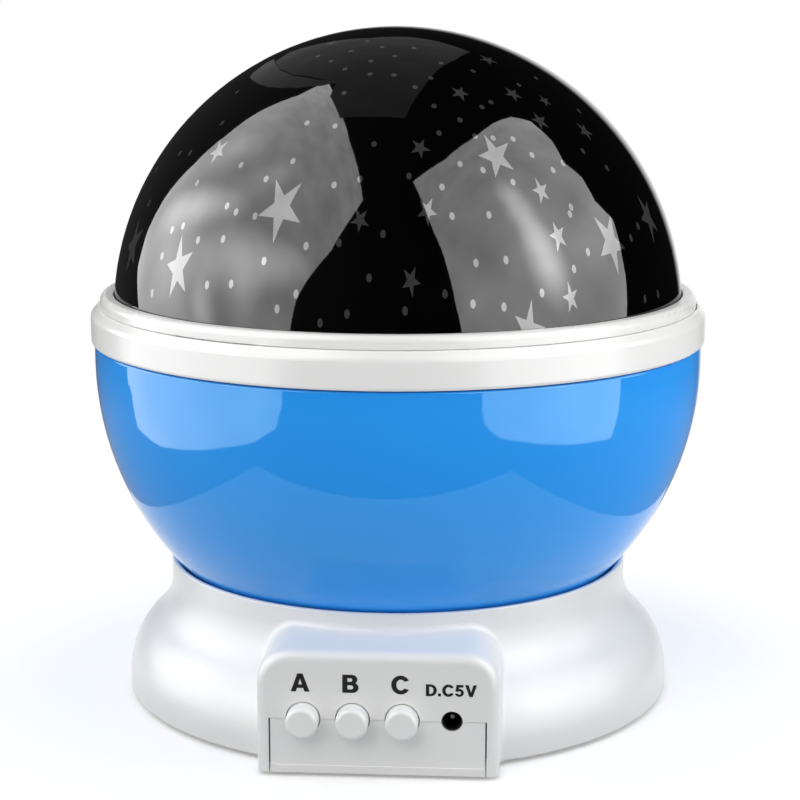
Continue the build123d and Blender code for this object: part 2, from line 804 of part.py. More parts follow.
def make_contact_plates():
    plates = []
    for i in range(cell_count):
        x = cell_x(i)
        low_z = cell_z - contact_h / 2
        for front in (-bay_y, bay_y - contact_t):
            corner = (x + contact_w / 2, front + contact_t, low_z + contact_h)
            plates.append(block((x - contact_w / 2, front, low_z), corner))
    return plates


def make_contact_springs():
    height = spring_len - 2 * spring_wire
    coil = Helix(height / spring_turns, height, spring_r)
    wire = sweep(Plane(origin=coil @ 0, z_dir=coil % 0) * Circle(spring_wire), path=coil, is_frenet=True)
    lying = Rot(-90, 0, 0) * wire
    springs = []
    for i in range(cell_count):
        start = -bay_y + contact_t + spring_wire
        spring = Pos(0, start, 0) * lying
        springs.append(Pos(cell_x(i), 0, cell_z) * (spring if i % 2 == 0 else Rot(0, 0, 180) * spring))
    return springs


# ---- Wires ----
def make_led_wires():
    run_z = bay_top + led_wire_r + face_gap
    drop_y = -(bay_y + bay_wall + wire_bend)
    end_z = (board_low + board_high) / 2
    points = (
        (0, 0, post_top),
        (0, 0, run_z),
        (0, drop_y, run_z),
        (0, (drop_y + board_back) / 2, end_z),
        (0, board_back, end_z),
    )
    return tube_along(points, led_wire_r, wire_bend)


def make_motor_wires():
    """Two wires, one above the other, from the motor's side to the control board."""
    start_x, start_y = motor_at[0], motor_at[1] - motor_r
    end_x = board_screw_x
    wires = []
    for i in range(2):
        z = motor_top - motor_h / 2 + (i - 0.5) * 3 * wire_r
        points = (
            (start_x, start_y, z),
            (start_x, start_y - 2 * wire_bend, z),
            (end_x, board_back + 3 * wire_bend, z),
            (end_x, board_back, z),
        )
        wires.append(tube_along(points, wire_r, wire_bend))
    return wires


def make_battery_wires():
    """Wires from the two outer contacts, through the bay's front wall, to the control board."""
    wires = []
    for i in (0, cell_count - 1):
        x = cell_x(i)
        points = (
            (x, -bay_y, cell_z),
            (x, -bay_y - bay_wall - 2 * wire_bend, cell_z),
            (x * battery_wire_draw, board_back + 2 * wire_bend, cell_z),
            (x * battery_wire_draw, board_back, cell_z),
        )
        wires.append(tube_along(points, wire_r, wire_bend))
    return wires


def make_cover_screws():
    return [screw(cover_screw, polar(screw_circle, a), base_low + face_gap) for a in screw_angles]


def make_bracket_screws():
    low = bracket_low - bracket_screw[2]
    return [screw(bracket_screw, at, low) for at in bracket_posts]


def make_motor_screws():
    high = bracket_high + motor_screw[2]
    return [screw(motor_screw, at, high, down=True) for at in motor_screw_spots()]


def make_gear_screws():
    return [screw(gear_screw, at, drive_low) for at in gear_screw_spots()]


# ---- All nodes ----
nodes = {
    "base_shell": make_base_shell(),
    "bottom_cover": make_bottom_cover(),
    "cover_screws": make_cover_screws(),
    "hub_bush": make_hub_bush(),
    "battery_door": make_battery_door(),
    "door_screw": screw(door_screw, (0, door_screw_y), base_low + face_gap),
    "bowl": make_bowl(),
    "drive_gear": make_drive_gear(),
    "gear_screws": make_gear_screws(),
    "lock_ring": make_lock_ring(),
    "trim_ring": make_trim_ring(),
    "star_dome": make_star_dome(),
    "bayonet_collar": make_bayonet_collar(),
    "idler_gear": make_idler_gear(),
    "idler_axle": disc(axle_r, bracket_low, deck_low + axle_seat, idler_at),
    "pinion_gear": make_pinion_gear(),
    "motor_shaft": disc(shaft_r, motor_top - shaft_seat, pinion_low + pinion_t, motor_at),
    "motor": make_motor(),
    "motor_bracket": make_motor_bracket(),
    "bracket_screws": make_bracket_screws(),
    "motor_screws": make_motor_screws(),
    "led_post": make_led_post(),
    "led_board": disc(led_board_r, post_top, post_top + led_board_t),
    "led_holder": make_led_holder(),
    "control_board": make_control_board(),
    "board_screws": make_board_screws(),
    "dc_jack": make_dc_jack(),
    "dc_pin": make_dc_pin(),
    "contact_plates": make_contact_plates(),
    "contact_springs": make_contact_springs(),
    "led_wires": make_led_wires(),
    "motor_wires": make_motor_wires(),
    "battery_wires": make_battery_wires(),
}
for number, angle in enumerate(foot_angles, 1):
    nodes[f"foot_{number}"] = make_foot(polar(foot_circle, angle))
for name, at in zip(led_names, led_spots()):
    nodes[f"led_{name}"] = make_led(at)
for name, x in zip(button_names, control_x):
    nodes[f"button_{name}"] = make_button(x)
    nodes[f"plunger_{name}"] = make_plunger(x)
    nodes[f"switch_{name}"] = make_switch(x)
for i in range(cell_count):
    nodes[f"battery_cell_{i + 1}"] = make_cell(i)

os.makedirs("parts", exist_ok=True)
for name, shape in nodes.items():
    solids = shape if isinstance(shape, list) else [shape]
    shape = solids[0] if len(solids) == 1 else Compound(children=solids)
    shape.label = name
    export_step(shape, f"parts/{name}.step")
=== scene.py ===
import json
import math
import random

import bpy
from mathutils import Matrix, Vector
from mathutils.geometry import delaunay_2d_cdt


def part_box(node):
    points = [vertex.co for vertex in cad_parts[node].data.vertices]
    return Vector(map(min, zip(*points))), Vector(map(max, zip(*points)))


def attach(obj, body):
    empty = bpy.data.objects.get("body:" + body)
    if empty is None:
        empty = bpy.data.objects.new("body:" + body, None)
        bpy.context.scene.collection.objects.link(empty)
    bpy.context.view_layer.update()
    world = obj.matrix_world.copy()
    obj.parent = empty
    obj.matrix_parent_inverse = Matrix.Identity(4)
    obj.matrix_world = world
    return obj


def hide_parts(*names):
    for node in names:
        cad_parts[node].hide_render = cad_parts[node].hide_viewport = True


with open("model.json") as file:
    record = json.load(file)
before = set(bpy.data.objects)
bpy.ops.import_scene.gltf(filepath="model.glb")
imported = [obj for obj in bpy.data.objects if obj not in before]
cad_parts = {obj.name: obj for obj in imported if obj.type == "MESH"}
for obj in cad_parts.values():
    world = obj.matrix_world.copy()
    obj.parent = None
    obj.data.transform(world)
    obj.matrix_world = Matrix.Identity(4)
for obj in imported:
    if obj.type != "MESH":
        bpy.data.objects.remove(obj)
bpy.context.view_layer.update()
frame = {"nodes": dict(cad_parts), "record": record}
MM = 0.001


def add_object(name, data):
    """New object in the scene."""
    obj = bpy.data.objects.new(name, data)
    bpy.context.scene.collection.objects.link(obj)
    return obj


# ---- Camera: the photograph's place and angle ----
VIEW_TURN = math.radians(3.7)  # the camera stands this far round from the panel's front
VIEW_DISTANCE = 420 * MM
VIEW_HEIGHT = 145.85 * MM
VIEW_PITCH = math.radians(11.326)
FOCAL = 1984.4  # in pixels of the 800 pixel frame
FRAME_PX = 800
AXIS_PX = 398  # the column where the globe's axis stands
SENSOR = 36.0  # its width in mm
NEAREST = 10 * MM

eye = Vector((VIEW_DISTANCE * math.sin(VIEW_TURN), -VIEW_DISTANCE * math.cos(VIEW_TURN), VIEW_HEIGHT))
level = Vector((-math.sin(VIEW_TURN), math.cos(VIEW_TURN), 0))
aim = level * math.cos(VIEW_PITCH) - Vector((0, 0, 1)) * math.sin(VIEW_PITCH)
across = Vector((math.cos(VIEW_TURN), math.sin(VIEW_TURN), 0))
upward = across.cross(aim)

cam_data = bpy.data.cameras.new("camera")
cam_data.sensor_width = SENSOR
cam_data.lens = FOCAL / FRAME_PX * SENSOR
cam_data.shift_x = (FRAME_PX / 2 - AXIS_PX) / FRAME_PX
cam_data.clip_start = NEAREST
camera = add_object("camera", cam_data)
camera.matrix_world = Matrix((
    (across.x, upward.x, -aim.x, eye.x),
    (across.y, upward.y, -aim.y, eye.y),
    (across.z, upward.z, -aim.z, eye.z),
    (0, 0, 0, 1),
))
bpy.context.scene.camera = camera
bpy.context.scene.view_settings.view_transform = "Standard"


def ray(x, y):
    """Direction from the camera through a pixel of the photograph."""
    return (aim + across * ((x - AXIS_PX) / FOCAL) - upward * ((y - FRAME_PX / 2) / FOCAL)).normalized()


def on_plane_y(x, y, place):
    """Where the ray through a pixel meets the plane at this Y."""
    way = ray(x, y)
    return eye + way * ((place - eye.y) / way.y)


def on_ball(x, y, centre, radius):
    """Where the ray through a pixel meets a sphere, or None."""
    way = ray(x, y)
    off = eye - centre
    half = off.dot(way)
    inside = half * half - off.dot(off) + radius * radius
    return None if inside < 0 else eye + way * (-half - math.sqrt(inside))


# ---- Nodes that the materials share ----
NOISE_SPAN = (0.3, 0.7)  # nearly all of a noise texture's values lie between these
BLEND_SPAN = (0.35, 0.65)  # a blend of two colours runs between these values of it


def clear_tree(data):
    """Node tree of a new material or world, emptied."""
    data.use_nodes = True
    data.node_tree.nodes.clear()
    return data.node_tree


def new_material(name):
    """Material with a Principled shader, its node tree and the shader."""
    mat = bpy.data.materials.new(name)
    tree = clear_tree(mat)
    out = tree.nodes.new("ShaderNodeOutputMaterial")
    shader = tree.nodes.new("ShaderNodeBsdfPrincipled")
    tree.links.new(shader.outputs[0], out.inputs[0])
    return mat, tree, shader


def node_of(tree, kind, **settings):
    """New node with these properties."""
    node = tree.nodes.new(kind)
    for key, value in settings.items():
        setattr(node, key, value)
    return node


def object_place(tree):
    """Coordinates in the object's own metres."""
    return tree.nodes.new("ShaderNodeTexCoord").outputs["Object"]


def linear(rgb):
    """Linear colour of an sRGB colour given as 0 to 255."""
    def channel(c):
        c /= 255
        return c / 12.92 if c <= 0.04045 else ((c + 0.055) / 1.055) ** 2.4
    return tuple(channel(c) for c in rgb) + (1.0,)


def shaded(rgb, share):
    """Linear colour of this share of an sRGB colour's light."""
    return tuple(c * share for c in linear(rgb)[:3]) + (1.0,)


def noise(tree, scale, detail=3.0, stretch=(1, 1, 1)):
    """Noise in the object's own metres."""
    mapping = tree.nodes.new("ShaderNodeMapping")
    mapping.inputs["Scale"].default_value = stretch
    tree.links.new(object_place(tree), mapping.inputs["Vector"])
    tex = tree.nodes.new("ShaderNodeTexNoise")
    tex.inputs["Scale"].default_value = scale
    tex.inputs["Detail"].default_value = detail
    tree.links.new(mapping.outputs[0], tex.inputs["Vector"])
    return tex.outputs["Fac"]


def ranged(tree, value, low, high, first, second, kind="SMOOTHSTEP"):
    """A value's range from low to high turned into one from first to second."""
    node = node_of(tree, "ShaderNodeMapRange", interpolation_type=kind)
    for label, number in (("From Min", low), ("From Max", high), ("To Min", first), ("To Max", second)):
        node.inputs[label].default_value = number
    tree.links.new(value, node.inputs["Value"])
    return node.outputs[0]


def spread(tree, value, low, high):
    """A noise value spread between two numbers."""
    return ranged(tree, value, *NOISE_SPAN, low, high, "LINEAR")


def between(tree, value, first, second):
    """Colour between two colours by a noise value."""
    ramp = tree.nodes.new("ShaderNodeValToRGB")
    for element, position, colour in zip(ramp.color_ramp.elements, BLEND_SPAN, (first, second)):
        element.position = position
        element.color = colour
    tree.links.new(value, ramp.inputs[0])
    return ramp.outputs[0]


def bump(tree, shader, value, depth):
    """Relief of a shader by a value, this deep in metres."""
    node = tree.nodes.new("ShaderNodeBump")
    node.inputs["Distance"].default_value = depth
    node.inputs["Strength"].default_value = 1.0
    tree.links.new(value, node.inputs["Height"])
    tree.links.new(node.outputs[0], shader.inputs["Normal"])


def math_of(tree, operation, one, two):
    """One step of arithmetic on sockets or plain numbers."""
    node = node_of(tree, "ShaderNodeMath", operation=operation)
    for socket, value in zip(node.inputs, (one, two)):
        if isinstance(value, (int, float)):
            socket.default_value = value
        else:
            tree.links.new(value, socket)
    return node.outputs[0]


def mixed(tree, share, one, two):
    """Mix of two shaders: the first where the share is 0, the second where it is 1."""
    node = tree.nodes.new("ShaderNodeMixShader")
    for socket, value in zip(node.inputs, (share, one, two)):
        tree.links.new(value, socket)
    return node.outputs[0]


# ---- Materials of the object ----
# Each scale is in cycles a metre, and each depth is a relief's.
TONE_SCALE = 45
TONE_DETAIL = 2.0
GLOSS_SCALE = 160
GLOSS_DETAIL = 4.0
GLOSS_CHANGE = 0.12  # the share by which roughness wanders either way
FINE_GRAIN = 900
FINE_DEPTH = 0.004 * MM
COARSE_DEPTH = 0.02 * MM
DOME_GRAIN = 90
BOWL_GRAIN = 140
BOWL_DEPTH = 0.012 * MM
WEAVE_SCALE = 260
WEAVE_LINE = 0.06  # width of its lines, as a share of a brick
BOARD_ROUGH = 0.35
CELL_SPAN = (-20 * MM, 23 * MM)  # where the battery jacket's colours are measured, along Y
COPPER_SHARE = 0.26  # the copper band's share of that
CELL_METAL = 0.35
CELL_SCALE = 220
CELL_ROUGH = (0.19, 0.26)
EPOXY_SCALE = 300
EPOXY_SHADE = 0.9
EPOXY_ROUGH = 0.08
EPOXY_CLEAR = 0.65
EPOXY_IOR = 1.5


def surface(
    name, rgb, rough, grain=FINE_GRAIN, depth=FINE_DEPTH, vary=0.03, metal=0.0, ior=1.5,
    tint=(1, 1, 1), stretch=(1, 1, 1),
):
    """Moulded, pressed or drawn surface: slow changes of tone, uneven gloss and a fine grain."""
    mat, tree, shader = new_material(name)
    tone = noise(tree, TONE_SCALE, TONE_DETAIL, stretch)
    gloss = noise(tree, GLOSS_SCALE, GLOSS_DETAIL, stretch)
    uneven = spread(tree, gloss, rough * (1 - GLOSS_CHANGE), rough * (1 + GLOSS_CHANGE))
    tree.links.new(between(tree, tone, shaded(rgb, 1 - vary), linear(rgb)), shader.inputs["Base Color"])
    tree.links.new(uneven, shader.inputs["Roughness"])
    shader.inputs["Metallic"].default_value = metal
    shader.inputs["IOR"].default_value = ior
    shader.inputs["Specular Tint"].default_value = (*tint, 1)
    bump(tree, shader, noise(tree, grain, stretch=stretch), depth)
    return mat


def board_material():
    """Green solder mask in two tones, with the fine lines of its weave."""
    mat, tree, shader = new_material("board")
    brick = tree.nodes.new("ShaderNodeTexBrick")
    brick.inputs["Scale"].default_value = WEAVE_SCALE
    brick.inputs["Mortar Size"].default_value = WEAVE_LINE
    brick.inputs["Color1"].default_value = linear((18, 92, 48))
    brick.inputs["Color2"].default_value = linear((24, 104, 56))
    brick.inputs["Mortar"].default_value = linear((52, 132, 74))
    tree.links.new(object_place(tree), brick.inputs["Vector"])
    tree.links.new(brick.outputs["Color"], shader.inputs["Base Color"])
    shader.inputs["Roughness"].default_value = BOARD_ROUGH
    bump(tree, shader, brick.outputs["Fac"], COARSE_DEPTH)
    return mat


def cell_material():
    """Battery jacket: a dark body with a copper coloured band towards the front end."""
    mat, tree, shader = new_material("cell_jacket")
    split = tree.nodes.new("ShaderNodeSeparateXYZ")
    tree.links.new(object_place(tree), split.inputs[0])
    ramp = tree.nodes.new("ShaderNodeValToRGB")
    ramp.color_ramp.interpolation = "CONSTANT"
    ramp.color_ramp.elements[0].color = linear((196, 120, 62))
    ramp.color_ramp.elements[1].position = COPPER_SHARE
    ramp.color_ramp.elements[1].color = linear((34, 36, 42))
    tree.links.new(ranged(tree, split.outputs["Y"], *CELL_SPAN, 0, 1, "LINEAR"), ramp.inputs[0])
    tree.links.new(ramp.outputs[0], shader.inputs["Base Color"])
    shader.inputs["Metallic"].default_value = CELL_METAL
    tree.links.new(spread(tree, noise(tree, CELL_SCALE), *CELL_ROUGH), shader.inputs["Roughness"])
    return mat


def led_material(name, rgb):
    """Tinted clear epoxy."""
    mat, tree, shader = new_material(name)
    tone = between(tree, noise(tree, EPOXY_SCALE), shaded(rgb, EPOXY_SHADE), linear(rgb))
    tree.links.new(tone, shader.inputs["Base Color"])
    shader.inputs["Roughness"].default_value = EPOXY_ROUGH
    shader.inputs["Transmission Weight"].default_value = EPOXY_CLEAR
    shader.inputs["IOR"].default_value = EPOXY_IOR
    return mat


# No roughness here wanders across 0.27, because the render's denoiser treats each side of that differently.
ring_white = surface("ring_white", (243, 243, 242), 0.22, vary=0.01)
black = surface("dome_black", (3, 3, 3), 0.03, DOME_GRAIN, COARSE_DEPTH, vary=0.3)
window = surface("star_window", (58, 58, 59), 0.04, DOME_GRAIN, COARSE_DEPTH, vary=0.1, ior=1.95)
print_black = surface("print_black", (8, 8, 9), 0.6, vary=0.2, ior=1.3)
materials = {
    "shell_white": surface("shell_white", (238, 238, 237), 0.33, vary=0.012),
    "ring_white": ring_white,
    "bowl_blue": surface(
        "bowl_blue", (45, 160, 254), 0.05, BOWL_GRAIN, BOWL_DEPTH, vary=0.02, tint=(0.7, 1, 1)
    ),
    "dome_black": black,
    "collar_white": ring_white,
    "button_white": surface("button_white", (240, 240, 239), 0.34, vary=0.012),
    "gear_nylon": surface("gear_nylon", (226, 222, 206), 0.42, vary=0.04),
    "bush_acetal": surface("bush_acetal", (212, 210, 202), 0.38, vary=0.05),
    "steel": surface("steel", (176, 178, 182), 0.22, metal=1.0, vary=0.12),
    "motor_can": surface("motor_can", (168, 170, 172), 0.34, metal=1.0, vary=0.15, stretch=(1, 1, 9)),
    "bracket_grey": surface("bracket_grey", (142, 146, 150), 0.4, metal=1.0, vary=0.12, stretch=(8, 1, 1)),
    "board_green": board_material(),
    "switch_black": surface("switch_black", (30, 30, 32), 0.42, vary=0.15),
    "plunger_grey": surface("plunger_grey", (120, 122, 126), 0.4, vary=0.08),
    "jack_black": surface("jack_black", (14, 14, 15), 0.35, vary=0.15),
    "brass": surface("plated_brass", (104, 102, 98), 0.36, metal=1.0, vary=0.15),
    "contact_nickel": surface("contact_nickel", (196, 194, 186), 0.22, metal=1.0, vary=0.12),
    "cell_jacket": cell_material(),
    "foot_rubber": surface("foot_rubber", (52, 52, 54), 0.75, grain=1600, depth=COARSE_DEPTH, vary=0.15),
    "light_head_white": surface("light_head_white", (228, 228, 226), 0.4, vary=0.03),
    "led_red": led_material("led_red", (236, 70, 62)),
    "led_green": led_material("led_green", (80, 214, 110)),
    "led_blue": led_material("led_blue", (74, 120, 240)),
    "led_white": led_material("led_white", (246, 240, 214)),
    "wire_grey": surface("wire_grey", (132, 134, 138), 0.5, vary=0.1),
    "wire_red": surface("wire_red", (186, 38, 34), 0.5, vary=0.1),
}

slot_of = {part["node"]: part["material_slot"] for part in frame["record"]["subparts"]}
for name, node in frame["nodes"].items():
    node.data.materials.clear()
    node.data.materials.append(materials[slot_of[name]])

# ---- Star dome: its shape, from the node that it replaces ----
DOME_WALL = 1.6 * MM
GRID = 2.9 * MM  # distance between the dome's own points
RIM_POINTS = 180
LIP_COVER = 0.3 * MM  # the print ends this far above the dome's visible foot
NEAR_EDGE = 0.1 * MM  # a point this near to the flange's radius is at its edge
SAME_HEIGHT = 0.01 * MM  # and one this near to its top is level with it
SAME_PLACE = 1e-7  # points of the flat map that lie nearer than this are one
ON_RIM = 1e-6  # a point of the rim stands within this angle of it, in radians

shell = [v.co for v in frame["nodes"]["star_dome"].data.vertices]
dome_low, dome_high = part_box("star_dome")
FLANGE_R = dome_high.x
FLANGE_LOW = dome_low.z
FLANGE_TOP = max(p.z for p in shell if p.xy.length > FLANGE_R - NEAR_EDGE)
foot_r = min(p.xy.length for p in shell if abs(p.z - FLANGE_TOP) < SAME_HEIGHT)
rise = dome_high.z - FLANGE_TOP
DOME_R = (foot_r**2 + rise**2) / (2 * rise)
INNER_R = DOME_R - DOME_WALL
dome_centre = Vector((0, 0, dome_high.z - DOME_R))
foot_inner_r = math.sqrt(INNER_R**2 - (FLANGE_LOW - dome_centre.z) ** 2)
rim_tilt = math.acos((FLANGE_TOP - dome_centre.z) / DOME_R)  # polar angle of the dome's visible foot
print_end = rim_tilt - LIP_COVER / DOME_R

# ---- Star dome: its print ----
# Column, row, size in mm and turn in degrees of each star that the photograph shows.
STARS = (
    (281, 208, 4.6, 32), (178, 268, 4.0, 14), (218, 151, 2.3, 36), (496, 156, 3.9, 15),
    (541, 191, 2.0, 11), (558, 236, 2.1, 14), (571, 298, 1.85, 11), (529, 331, 3.4, -14),
    (611, 242, 4.3, 40), (427, 211, 2.05, 39), (411, 281, 1.9, 44), (420, 148, 1.95, 42),
    (360, 220, 1.8, 30), (133, 246, 4.0, 20), (648, 217, 3.6, 19), (540, 121, 2.0, 5),
    (585, 131, 2.0, 30), (545, 101, 1.5, 6), (513, 94, 2.0, 20), (460, 93, 2.0, 40),
    (488, 60, 2.0, 10), (331, 43, 1.6, 10),
)
# Column and row of each dot that the photograph shows.
DOTS = (
    (307, 123), (335, 126), (293, 161), (241, 165), (266, 179), (334, 185), (360, 179), (197, 183),
    (227, 206), (236, 212), (255, 216), (183, 226), (172, 230), (198, 240), (223, 239), (306, 246),
    (162, 256), (264, 261), (207, 285), (231, 284), (296, 294), (152, 293), (277, 309), (339, 243),
    (374, 144), (409, 176), (383, 234), (369, 278), (405, 311), (347, 314), (320, 323), (371, 61),
    (370, 74), (344, 93), (318, 56), (351, 51), (382, 47), (395, 56), (394, 75), (331, 61),
    (345, 69), (414, 48), (367, 41), (237, 92), (222, 123), (190, 153), (180, 153), (156, 170),
    (149, 203), (475, 136), (493, 138), (513, 139), (532, 155), (460, 164), (483, 170), (553, 170),
    (563, 163), (442, 187), (513, 182), (452, 216), (489, 215), (571, 207), (570, 214), (439, 133),
    (460, 120), (434, 106), (482, 107), (491, 102), (519, 85), (473, 71), (441, 63), (396, 56),
    (415, 87), (431, 78), (506, 260), (476, 263), (588, 252), (574, 269), (542, 293), (473, 304),
    (504, 307), (445, 294), (631, 238), (638, 226), (645, 299), (658, 294), (579, 111), (583, 151),
    (607, 168), (536, 78),
)
STAR_POINTS = 5
STAR_WAIST = 0.38  # a star's inner corners stand this share of its size from its middle
STAR_TIPS = (0.93, 1.07)  # and its tips stand between these shares
EDGE_STEPS = 3  # points along each edge of a star
DOT_SIZE = 0.52  # radius in mm
DOT_SIDES = 14
FEWEST_POINTS = 6  # a print that the ring's lip cuts to fewer points is left out
DRAWN_OUT = (1.05, 0.75)  # stretch of the print high up, and what the foot adds
DRAWN_BELOW = 60  # the foot's part begins at this height above the dome's equator, in degrees
REACH = 2.2  # prints further apart than this many times their sizes can't touch
PRINT_REACH = 1.05  # a print is taken to reach this many times its size
PRINT_CLEAR = 0.35 * MM  # and the dome's own points keep this much further away
# The least gap between prints, in mm.
STAR_GAP = 0.2
DOT_GAP = 0.12
HIDDEN_GAP = 1.2
# Size range in mm and number of the prints on the side that the photograph doesn't show.
HIDDEN_PRINTS = (((3.6, 4.6), 8), ((1.8, 2.3), 20), ((DOT_SIZE, DOT_SIZE), 150))
HIDDEN_SIDE = (math.radians(-12), math.radians(192))  # azimuths of that side
HIDDEN_TRIES = 3000

spots_behind = random.Random(11)
uneven_tips = random.Random(5)
prints = []  # polar angle, azimuth, size in mm, and the outline laid on the dome


def stretch_at(tilt):
    """The print is drawn out along the meridians, most of all near the foot."""
    above = math.degrees(math.pi / 2 - tilt)
    return DRAWN_OUT[0] + DRAWN_OUT[1] * max(0.0, 1 - above / DRAWN_BELOW)


def spherical(point):
    """Polar angle and azimuth on the dome."""
    way = (point - dome_centre).normalized()
    return math.acos(max(-1.0, min(1.0, way.z))), math.atan2(way.y, way.x)


def ball_point(tilt, turn, radius=DOME_R):
    """Point at this polar angle and azimuth on a sphere around the dome's centre."""
    out = Vector((math.sin(tilt) * math.cos(turn), math.sin(tilt) * math.sin(turn), math.cos(tilt)))
    return dome_centre + out * radius


def star_outline(size, turn):
    """Star with uneven tips, each side in steps, in millimetres."""
    corners = []
    count = 2 * STAR_POINTS
    for i in range(count):
        reach = size * (uneven_tips.uniform(*STAR_TIPS) if i % 2 == 0 else STAR_WAIST)
        angle = math.radians(90 + turn + i * 360 / count)
        corners.append(Vector((reach * math.cos(angle), reach * math.sin(angle))))
    ends = corners[1:] + corners[:1]
    return [one.lerp(two, k / EDGE_STEPS) for one, two in zip(corners, ends) for k in range(EDGE_STEPS)]


def dot_outline(size):
    """Round dot, in millimetres."""
    angles = (i * math.tau / DOT_SIDES for i in range(DOT_SIDES))
    return [Vector((size * math.cos(a), size * math.sin(a))) for a in angles]


def seat_outline(outline, tilt, turn):
    """Lays an outline in millimetres on the dome, as polar angles and azimuths, and cuts it off where the
    print ends."""
    middle = ball_point(tilt, turn)
    east = Vector((-math.sin(turn), math.cos(turn), 0))
    north = (middle - dome_centre).normalized().cross(east)
    laid = [spherical(middle + (east * p.x + north * (p.y * stretch_at(tilt))) * MM) for p in outline]
    kept = []
    for (tilt_a, turn_a), (tilt_b, turn_b) in zip(laid, laid[1:] + laid[:1]):
        if tilt_a <= print_end:
            kept.append((tilt_a, turn_a))
        if (tilt_a <= print_end) != (tilt_b <= print_end):
            share = (print_end - tilt_a) / (tilt_b - tilt_a)
            kept.append((print_end, turn_a + (turn_b - turn_a) * share))
    return kept


def overlaps(points, size, middle, gap):
    """True where an outline comes nearer than this gap to a print, or lies on its middle."""
    for tilt, turn, other, outline in prints:
        there = ball_point(tilt, turn)
        if (there - middle).length > (size + other) * REACH * MM + gap:
            continue
        if any((ball_point(*p) - there).length < other * STAR_WAIST * MM for p in points):
            return True
        edge = [ball_point(*p) for p in outline]
        if any((ball_point(*p) - q).length < gap for p in points for q in edge):
            return True
    return False


def add_print(tilt, turn, size, spin, gap):
    """Adds a star, or a dot where spin is None, unless it would touch another print."""
    outline = dot_outline(size) if spin is None else star_outline(size, spin)
    seated = seat_outline(outline, tilt, turn)
    if len(seated) < FEWEST_POINTS or overlaps(seated, size, ball_point(tilt, turn), gap * MM):
        return False
    prints.append((tilt, turn, size, seated))
    return True


def add_hidden_prints(size_range, wanted):
    """Spreads prints of one kind over the side that the photograph doesn't show, by a seeded rule."""
    made = 0
    for _ in range(HIDDEN_TRIES):
        if made == wanted:
            break
        tilt = math.acos(spots_behind.uniform(math.cos(rim_tilt), 1.0))
        turn = spots_behind.uniform(*HIDDEN_SIDE)
        size = spots_behind.uniform(*size_range)
        spin = None if size == DOT_SIZE else spots_behind.uniform(0, 360 / STAR_POINTS)
        if tilt < print_end - size / 2 * MM / DOME_R:
            made += add_print(tilt, turn, size, spin, HIDDEN_GAP)


for x, y, size, turn in STARS:
    add_print(*spherical(on_ball(x, y, dome_centre, DOME_R)), size, turn, STAR_GAP)
for x, y in DOTS:
    add_print(*spherical(on_ball(x, y, dome_centre, DOME_R)), DOT_SIZE, None, DOT_GAP)
for size_range, wanted in HIDDEN_PRINTS:
    add_hidden_prints(size_range, wanted)


# ---- Star dome: its mesh ----
def flat(tilt, turn):
    """Place on the dome's flat map, where the distance from the middle is the polar angle."""
    return Vector((tilt * math.cos(turn), tilt * math.sin(turn)))


def clear_of_prints(place):
    """True where a point of the dome's own keeps its distance from every print."""
    return all(
        (place - ball_point(tilt, turn)).length > size * stretch_at(tilt) * PRINT_REACH * MM + PRINT_CLEAR
        for tilt, turn, size, _ in prints
    )


def dome_map():
    """Polar angle and azimuth of the dome's points, its faces, and whether each face is in a print."""
    points = [flat(rim_tilt, i * math.tau / RIM_POINTS) for i in range(RIM_POINTS)]
    rim_edges = [(i, (i + 1) % RIM_POINTS) for i in range(RIM_POINTS)]
    outlines = []
    for _, _, _, outline in prints:
        outlines.append(list(range(len(points), len(points) + len(outline))))
        points += [flat(*p) for p in outline]
    rows = round(rim_tilt * DOME_R / GRID)
    for row in range(rows):
        tilt = rim_tilt * row / rows
        count = max(1, round(math.tau * math.sin(tilt) * DOME_R / GRID))
        for i in range(count):
            turn = (i + (row % 2) / 2) * math.tau / count
            if clear_of_prints(ball_point(tilt, turn)):
                points.append(flat(tilt, turn))
    points, _, faces, _, _, outlines_at = delaunay_2d_cdt(points, rim_edges, outlines, 0, SAME_PLACE, True)
    return [(p.length, math.atan2(p.y, p.x)) for p in points], faces, [bool(at) for at in outlines_at]


def dome_skin(places, faces):
    """Points and faces of the outer skin, the inner skin, and the flange that joins them at the foot."""
    verts = [ball_point(*p) for p in places] + [ball_point(*p, INNER_R) for p in places]
    inner = len(places)
    shape = [tuple(f) for f in faces] + [tuple(inner + i for i in reversed(f)) for f in faces]
    turns = [turn for _, turn in places]
    on_rim = [i for i, (tilt, _) in enumerate(places) if tilt > rim_tilt - ON_RIM]
    rim = sorted(on_rim, key=lambda i: turns[i])
    rings = [rim]
    for radius, height in ((FLANGE_R, FLANGE_TOP), (FLANGE_R, FLANGE_LOW), (foot_inner_r, FLANGE_LOW)):
        rings.append(list(range(len(verts), len(verts) + len(rim))))
        verts += [Vector((radius * math.cos(turns[i]), radius * math.sin(turns[i]), height)) for i in rim]
    rings.append([inner + i for i in rim])
    for one, two in zip(rings, rings[1:]):
        for k in range(len(rim)):
            n = (k + 1) % len(rim)
            shape.append((one[n], one[k], two[k], two[n]))
    return verts, shape


def dome_normals(mesh, verts, skin_faces):
    """Exact normals of both spherical skins, and flat ones on the flange."""
    normals = []
    for poly in mesh.polygons:
        for index in poly.vertices:
            out = (verts[index] - dome_centre).normalized()
            if poly.index < skin_faces:
                normals.append(out)
            elif poly.index < 2 * skin_faces:
                normals.append(-out)
            else:
                normals.append(poly.normal)
    return [tuple(n) for n in normals]


